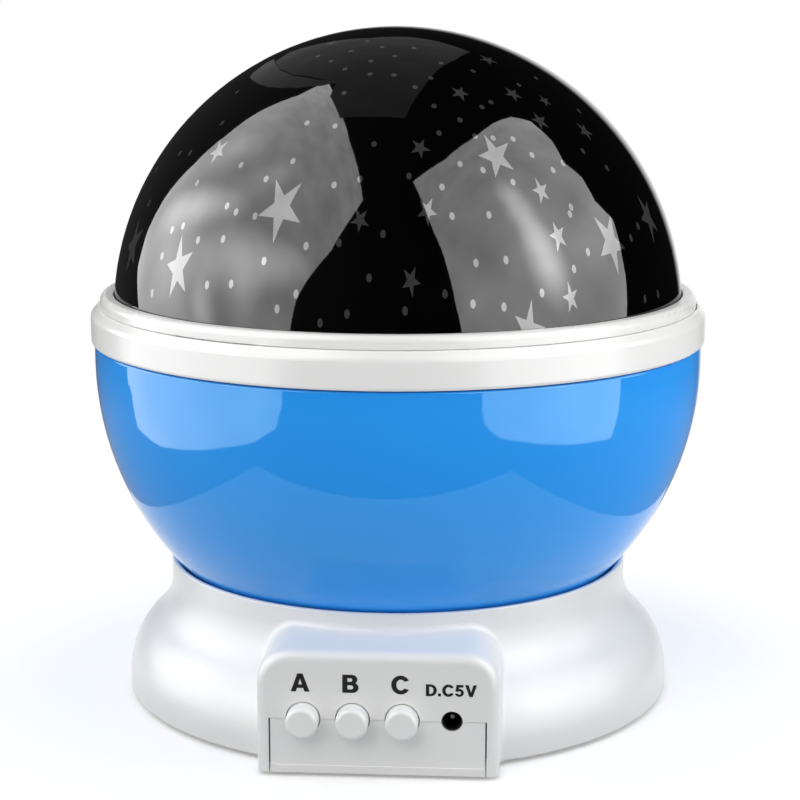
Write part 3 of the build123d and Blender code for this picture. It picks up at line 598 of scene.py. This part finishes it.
def make_dome():
    """Glossy shell with the print's stars and dots as faces of a paler finish, on both skins."""
    places, faces, in_print = dome_map()
    verts, shape = dome_skin(places, faces)
    slots = [int(inside) for inside in in_print * 2] + [0] * (len(shape) - 2 * len(faces))
    mesh = bpy.data.meshes.new("dome_shell")
    mesh.from_pydata([tuple(v) for v in verts], [], shape)
    mesh.materials.append(black)
    mesh.materials.append(window)
    mesh.polygons.foreach_set("material_index", slots)
    mesh.polygons.foreach_set("use_smooth", [True] * len(shape))
    mesh.update()
    mesh.normals_split_custom_set(dome_normals(mesh, verts, len(faces)))
    return add_object("dome_shell", mesh)


dome = make_dome()
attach(dome, "cover")
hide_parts("star_dome")

# ---- Marks printed on the panel ----
PANEL_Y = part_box("base_shell")[0].y  # the panel's face is the foremost of the base
PRINT_OFF = 0.03 * MM  # from the panel to the middle of the print's thickness
PRINT_THICK = 0.024 * MM
# Name, letters, the column and row of their middle in the photograph, and height.
MARKS = (
    ("mark_a", "A", 300.0, 682.4, 3.6 * MM),
    ("mark_b", "B", 350.4, 683.8, 3.6 * MM),
    ("mark_c", "C", 400.0, 685.0, 3.6 * MM),
    ("mark_power", "D.C5V", 451.4, 690.7, 2.35 * MM),
)


def bend(x, y, rx, ry, start, stop, steps=12):
    """Points along an elliptic arc, between two angles in degrees."""
    angles = [math.radians(start + (stop - start) * k / steps) for k in range(steps + 1)]
    return [(x + rx * math.cos(a), y + ry * math.sin(a)) for a in angles]


# Bold letters one unit high: each one's width, and its outline followed by its holes.
LETTERS = {
    "A": (1.0, [
        [(0, 0), (0.36, 1), (0.64, 1), (1, 0), (0.73, 0), (0.66, 0.2), (0.34, 0.2), (0.27, 0)],
        [(0.4, 0.39), (0.6, 0.39), (0.5, 0.72)],
    ]),
    "B": (0.86, [
        [(0, 0), (0, 1), *bend(0.5, 0.745, 0.3, 0.255, 90, -52), *bend(0.54, 0.29, 0.32, 0.29, 58, -90)],
        [(0.27, 0.61), (0.27, 0.81), *bend(0.45, 0.71, 0.08, 0.1, 90, -90)],
        [(0.27, 0.19), (0.27, 0.42), *bend(0.47, 0.305, 0.11, 0.115, 90, -90)],
    ]),
    "C": (0.93, [bend(0.5, 0.5, 0.5, 0.52, 30, 330, 30) + bend(0.51, 0.5, 0.24, 0.3, 322, 38, 24)]),
    "D": (0.88, [
        [(0, 0), (0, 1), *bend(0.4, 0.5, 0.48, 0.5, 90, -90, 20)],
        [(0.27, 0.2), (0.27, 0.8), *bend(0.38, 0.5, 0.23, 0.3, 90, -90, 20)],
    ]),
    "5": (0.72, [[
        (0.13, 1), (0.68, 1), (0.68, 0.79), (0.33, 0.79), *bend(0.35, 0.335, 0.37, 0.335, 95, -165, 24),
        *bend(0.35, 0.33, 0.13, 0.145, -160, 140, 20), (0.03, 0.44),
    ]]),
    "V": (0.95, [[(0, 1), (0.28, 1), (0.475, 0.36), (0.67, 1), (0.95, 1), (0.61, 0), (0.34, 0)]]),
    ".": (0.24, [[(0, 0), (0, 0.24), (0.24, 0.24), (0.24, 0)]]),
}
LETTER_GAP = 0.1


def letter_curve(name, text):
    """Filled outlines of a line of letters one unit high, centred on the origin."""
    curve = bpy.data.curves.new(name, "CURVE")
    curve.dimensions = "2D"
    curve.fill_mode = "BOTH"
    start = -sum(LETTERS[c][0] + LETTER_GAP for c in text) / 2 + LETTER_GAP / 2
    for letter in text:
        wide, outlines = LETTERS[letter]
        for outline in outlines:
            spline = curve.splines.new("POLY")
            spline.points.add(len(outline) - 1)
            for point, (u, v) in zip(spline.points, outline):
                point.co = (start + u, v - 0.5, 0, 1)
            spline.use_cyclic_u = True
        start += wide + LETTER_GAP
    return curve


def printed(name, text, x, y, height):
    """Thin bold letters on the panel's face, centred on a pixel of the photograph."""
    pattern = bpy.data.objects.new(name, letter_curve(name, text))
    mesh = bpy.data.meshes.new_from_object(pattern)
    bpy.data.objects.remove(pattern)
    at = on_plane_y(x, y, PANEL_Y)
    for v in mesh.vertices:
        v.co = (at.x + v.co.x * height, PANEL_Y - PRINT_OFF, at.z + v.co.y * height)
    mesh.materials.clear()
    mesh.materials.append(print_black)
    obj = add_object(name, mesh)
    solid = obj.modifiers.new("thick", "SOLIDIFY")
    solid.thickness = PRINT_THICK
    solid.offset = 0
    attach(obj, "base")


for mark in MARKS:
    printed(*mark)

# ---- Studio: the lights that gloss sees ----
GLOBE_MIDDLE = 72 * MM  # height of the middle of the bowl's ball
# Middle and radius of the balls that the bowl and the dome are part of.
GLOBE = (Vector((0, 0, GLOBE_MIDDLE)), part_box("bowl")[1].x)
DOME = (dome_centre, DOME_R)
LIGHT_AWAY = 1.0  # distance of the two soft lights from the globe's axis
LEFT_DIRECTION = -80  # each faces the axis from its direction, in degrees from the front
RIGHT_DIRECTION = 68
CEILING = 1.5  # height of the two lights overhead
LEFT_STRENGTH = 3.4
RIGHT_STRENGTH = 3.5
CEILING_STRENGTH = 0.18
STRIP_STRENGTH = 0.24
CLOUD_SCALE = 2.2
CLOUD_DETAIL = 2.0
CLOUD_CHANGE = 0.14  # the share by which a light's strength wanders either way

# Outline of each light's image on the dome, and for the two soft lights on the bowl, in pixels of the
# photograph.
LEFT_ON_DOME = (
    (139, 310), (138, 266), (147, 232), (169, 192), (193, 165), (223, 138), (257, 113), (297, 96),
    (328, 82), (338, 104), (348, 134), (359, 173), (363, 200), (352, 217), (331, 251), (307, 281),
    (296, 300), (290, 330),
)
LEFT_ON_BOWL = (
    (282, 396), (282, 412), (276, 428), (255, 442), (200, 450), (160, 446), (138, 428), (132, 398),
)
RIGHT_ON_DOME = (
    (462, 333), (457, 310), (444, 256), (430, 222), (413, 182), (444, 160), (474, 138), (494, 123),
    (511, 117), (530, 121), (552, 141), (564, 163), (582, 177), (595, 201), (613, 220), (622, 256),
    (627, 296), (626, 325),
)
RIGHT_ON_BOWL = ((621, 382), (619, 410), (611, 438), (560, 445), (500, 438), (484, 425), (480, 398))
CEILING_ON_DOME = (
    (275, 62), (290, 52), (330, 42), (370, 38), (410, 37), (440, 42), (470, 52), (455, 60),
    (440, 68), (425, 85), (413, 102), (405, 118), (375, 117), (340, 118), (330, 96), (336, 83),
    (317, 78), (293, 75), (280, 69),
)
STRIP_ON_DOME = (
    (250, 77), (253, 73), (259, 68), (266, 63), (274, 59), (275, 63), (280, 70), (293, 76),
    (317, 80), (343, 82), (321, 86), (297, 88), (280, 88), (268, 87), (258, 84), (252, 80),
)
# Brighter streaks of the soft lights: both ends on the dome, half width in metres, and extra strength.
LEFT_STREAKS = (
    ((172, 235), (186, 285), 0.42, 2.6),
    ((166, 214), (238, 206), 0.2, 4.8),
    ((235, 198), (300, 168), 0.24, 1.2),
    ((212, 160), (262, 140), 0.3, 1.0),
    ((196, 254), (300, 268), 0.3, 4.6),
    ((199, 290), (206, 326), 0.14, 2.8),
    ((240, 280), (244, 312), 0.2, 2.0),
)
RIGHT_STREAKS = (
    ((500, 184), (536, 238), 0.18, 4.8),
    ((532, 232), (556, 288), 0.2, 8.4),
    ((516, 200), (556, 296), 0.6, 1.8),
    ((584, 252), (597, 212), 0.25, 1.5),
    ((470, 280), (490, 316), 0.3, 0.8),
)


def bounced(x, y, ball):
    """Where a pixel's ray meets a ball, and the direction of its reflection."""
    at = on_ball(x, y, *ball)
    out = (at - ball[0]).normalized()
    way = ray(x, y)
    return at, way - out * (2 * way.dot(out))


def on_light(x, y, ball, place):
    """The point of a light, in its own X and Y, that a pixel on a ball reflects."""
    at, way = bounced(x, y, ball)
    local = place.inverted()
    start, step = local @ at, local.to_3x3() @ way
    return (start - step * (start.z / step.z)).xy


def upright(direction):
    """Place of an upright light in this direction from the front: X along its width, Y up."""
    turn = math.radians(direction)
    away = Vector((math.sin(turn), -math.cos(turn), 0))
    side = Vector((math.cos(turn), math.sin(turn), 0))
    return Matrix((
        (side.x, 0, away.x, away.x * LIGHT_AWAY),
        (side.y, 0, away.y, away.y * LIGHT_AWAY),
        (0, 1, 0, 0),
        (0, 0, 0, 1),
    ))


def streak(tree, place, ends, half_width, extra):
    """Extra strength in a soft ellipse between the light's points that two pixels on the dome reflect."""
    one, two = (on_light(*end, DOME, place) for end in ends)
    mapping = node_of(tree, "ShaderNodeMapping", vector_type="TEXTURE")
    mapping.inputs["Location"].default_value = (*((one + two) / 2), 0)
    mapping.inputs["Rotation"].default_value = (0, 0, math.atan2(two.y - one.y, two.x - one.x))
    mapping.inputs["Scale"].default_value = ((two - one).length / 2 + half_width, half_width, 1)
    tree.links.new(object_place(tree), mapping.inputs["Vector"])
    ball = node_of(tree, "ShaderNodeTexGradient", gradient_type="SPHERICAL")
    tree.links.new(mapping.outputs[0], ball.inputs[0])
    return ranged(tree, ball.outputs["Fac"], 0, 1, 0, extra)


def light_material(name, place, strength, streaks):
    """White light with streaks and faint clouds, as through a creased diffuser."""
    mat = bpy.data.materials.new(name)
    tree = clear_tree(mat)
    whole = strength
    for one, two, half_width, extra in streaks:
        whole = math_of(tree, "ADD", streak(tree, place, (one, two), half_width, extra), whole)
    clouds = spread(tree, noise(tree, CLOUD_SCALE, CLOUD_DETAIL), 1 - CLOUD_CHANGE, 1 + CLOUD_CHANGE)
    glow = tree.nodes.new("ShaderNodeEmission")
    tree.links.new(math_of(tree, "MULTIPLY", clouds, whole), glow.inputs["Strength"])
    out = tree.nodes.new("ShaderNodeOutputMaterial")
    tree.links.new(glow.outputs[0], out.inputs[0])
    return mat


def light_panel(name, place, strength, on_dome, on_bowl=(), streaks=()):
    """Flat light whose image lies where the photograph shows it. Only reflections see it: the soft fill
    of the world lights the matte surfaces, and passes through it."""
    outline = [on_light(*p, DOME, place) for p in on_dome] + [on_light(*p, GLOBE, place) for p in on_bowl]
    mesh = bpy.data.meshes.new(name)
    mesh.from_pydata([(p.x, p.y, 0) for p in outline], [], [tuple(range(len(outline)))])
    mesh.materials.append(light_material(name, place, strength, streaks))
    obj = add_object(name, mesh)
    obj.matrix_world = place
    obj.visible_camera = False
    obj.visible_diffuse = False
    obj.visible_shadow = False


at_left = upright(LEFT_DIRECTION)
at_right = upright(RIGHT_DIRECTION)
overhead = Matrix.Translation((0, 0, CEILING))
light_panel("light_left", at_left, LEFT_STRENGTH, LEFT_ON_DOME, LEFT_ON_BOWL, LEFT_STREAKS)
light_panel("light_right", at_right, RIGHT_STRENGTH, RIGHT_ON_DOME, RIGHT_ON_BOWL, RIGHT_STREAKS)
light_panel("light_ceiling", overhead, CEILING_STRENGTH, CEILING_ON_DOME)
light_panel("light_strip", overhead, STRIP_STRENGTH, STRIP_ON_DOME)

# ---- Studio: the table top, a white board ----
BOARD_X = (-106 * MM, 97 * MM)
BOARD_Y = (-119 * MM, 119 * MM)
FADE_FROM = 72 * MM  # between these distances from the axis it turns as white as the background
FADE_TO = 108 * MM
BOARD_BOUNCE = 0.52  # its grey for matte surfaces, which get less light back from it
BOARD_SEEN = 0.8  # its grey for the camera and for gloss
BOARD_LIFT = 0.25  # light of its own that these see


def seen_rays(tree):
    """The ray's kinds, and 1 for a ray from the camera, a reflection or a clear piece, so that all three
    show the white background."""
    path = tree.nodes.new("ShaderNodeLightPath")
    pair = math_of(tree, "MAXIMUM", path.outputs["Is Camera Ray"], path.outputs["Is Glossy Ray"])
    return path, math_of(tree, "MAXIMUM", pair, path.outputs["Is Transmission Ray"])


def matte(tree, grey):
    """Matte shader of one grey."""
    node = tree.nodes.new("ShaderNodeBsdfDiffuse")
    node.inputs["Color"].default_value = (grey, grey, grey, 1)
    return node.outputs[0]


def lit(tree, strength=1.0):
    """White light of this strength."""
    node = tree.nodes.new("ShaderNodeEmission")
    node.inputs["Strength"].default_value = strength
    return node.outputs[0]


def table_material():
    """Matte board that keeps the object's shadow, and turns into the white background further out."""
    mat = bpy.data.materials.new("table")
    tree = clear_tree(mat)
    near = tree.nodes.new("ShaderNodeAddShader")
    tree.links.new(matte(tree, BOARD_SEEN), near.inputs[0])
    tree.links.new(lit(tree, BOARD_LIFT), near.inputs[1])
    length = node_of(tree, "ShaderNodeVectorMath", operation="LENGTH")
    tree.links.new(object_place(tree), length.inputs[0])
    fade = ranged(tree, length.outputs["Value"], FADE_FROM, FADE_TO, 0, 1)
    white_out = mixed(tree, fade, near.outputs[0], lit(tree))
    seen = seen_rays(tree)[1]
    out = tree.nodes.new("ShaderNodeOutputMaterial")
    tree.links.new(mixed(tree, seen, matte(tree, BOARD_BOUNCE), white_out), out.inputs[0])
    return mat


board_corners = [(BOARD_X[i], BOARD_Y[j], 0) for i, j in ((0, 0), (1, 0), (1, 1), (0, 1))]
board_mesh = bpy.data.meshes.new("table")
board_mesh.from_pydata(board_corners, [], [(0, 1, 2, 3)])
board_mesh.materials.append(table_material())
add_object("table", board_mesh)

# ---- Studio: the world around it ----
# A change along one axis of the direction: the axis, the two values between which it happens, and what it
# is at each of them.
DARK_BY_SIDE = ("X", -0.8, 0.2, 0.05, 0.008)  # what gloss sees of the dark studio
FLOOR_BY_DEPTH = ("Y", -0.9, 0.1, 0.1, 0.3)  # what gloss sees of the floor beside the board
FLOOR_BY_HEIGHT = ("Z", -0.3, -0.12, 1, 0)  # the floor's share, up to just below the horizon
BACKDROP_SIDE = math.radians(7)  # the backdrop's middle, to the right of straight behind
BACKDROP_HALF = (math.radians(17), math.radians(4))  # where its edge begins and where it is full
# The soft fill that matte surfaces get is the sum of these and the key.
FILL = (
    ("Z", -0.45, -0.2, 0.82, 0),  # the floor beyond the board
    ("Z", 0.1, 0.5, 0.12, 0.6),  # from low up to halfway
    ("Z", 0.5, 1, 0, 0.52),  # from halfway up to overhead
    ("X", -1, -0.5, 0.6, 0),  # the left
    ("X", 0.4, 1, 0, 1.15),  # the right
)
KEY_FROM = (-0.4, -0.63, 0.67)  # a brighter stretch, to the upper left in front
KEY_HALF = math.radians(25)
KEY_EXTRA = 2.1


def glowing(tree, strength):
    """White background of this strength, a number or a socket."""
    node = tree.nodes.new("ShaderNodeBackground")
    node.inputs["Color"].default_value = (1, 1, 1, 1)
    if isinstance(strength, (int, float)):
        node.inputs["Strength"].default_value = strength
    else:
        tree.links.new(strength, node.inputs["Strength"])
    return node.outputs[0]


def studio_world():
    """White backdrop for the camera and for gloss, a dark studio around it, and soft fill on matte
    surfaces: some from every side, and most of all from the key's direction."""
    world = bpy.data.worlds.new("studio")
    tree = clear_tree(world)
    coord = tree.nodes.new("ShaderNodeTexCoord").outputs["Generated"]
    split = tree.nodes.new("ShaderNodeSeparateXYZ")
    tree.links.new(coord, split.inputs[0])

    def along(direction):
        """How far the ray's direction goes along another."""
        node = node_of(tree, "ShaderNodeVectorMath", operation="DOT_PRODUCT")
        node.inputs[1].default_value = direction
        tree.links.new(coord, node.inputs[0])
        return node.outputs["Value"]

    def by_axis(axis, low, high, first, second):
        return ranged(tree, split.outputs[axis], low, high, first, second)

    toward = along((math.sin(BACKDROP_SIDE), math.cos(BACKDROP_SIDE), 0))
    behind = ranged(tree, toward, *(math.cos(angle) for angle in BACKDROP_HALF), 0, 1)
    floor = math_of(tree, "MULTIPLY", by_axis(*FLOOR_BY_HEIGHT), by_axis(*FLOOR_BY_DEPTH))
    dark = math_of(tree, "ADD", floor, by_axis(*DARK_BY_SIDE))
    backdrop = mixed(tree, behind, glowing(tree, dark), glowing(tree, 1))
    key = ranged(tree, along(KEY_FROM), math.cos(KEY_HALF), 1, 0, KEY_EXTRA)
    fill, *more = *(by_axis(*change) for change in FILL), key
    for part in more:
        fill = math_of(tree, "ADD", fill, part)
    path, seen = seen_rays(tree)
    studio = mixed(tree, seen, glowing(tree, fill), backdrop)
    out = tree.nodes.new("ShaderNodeOutputWorld")
    tree.links.new(mixed(tree, path.outputs["Is Camera Ray"], studio, glowing(tree, 1)), out.inputs[0])
    return world


bpy.context.scene.world = studio_world()
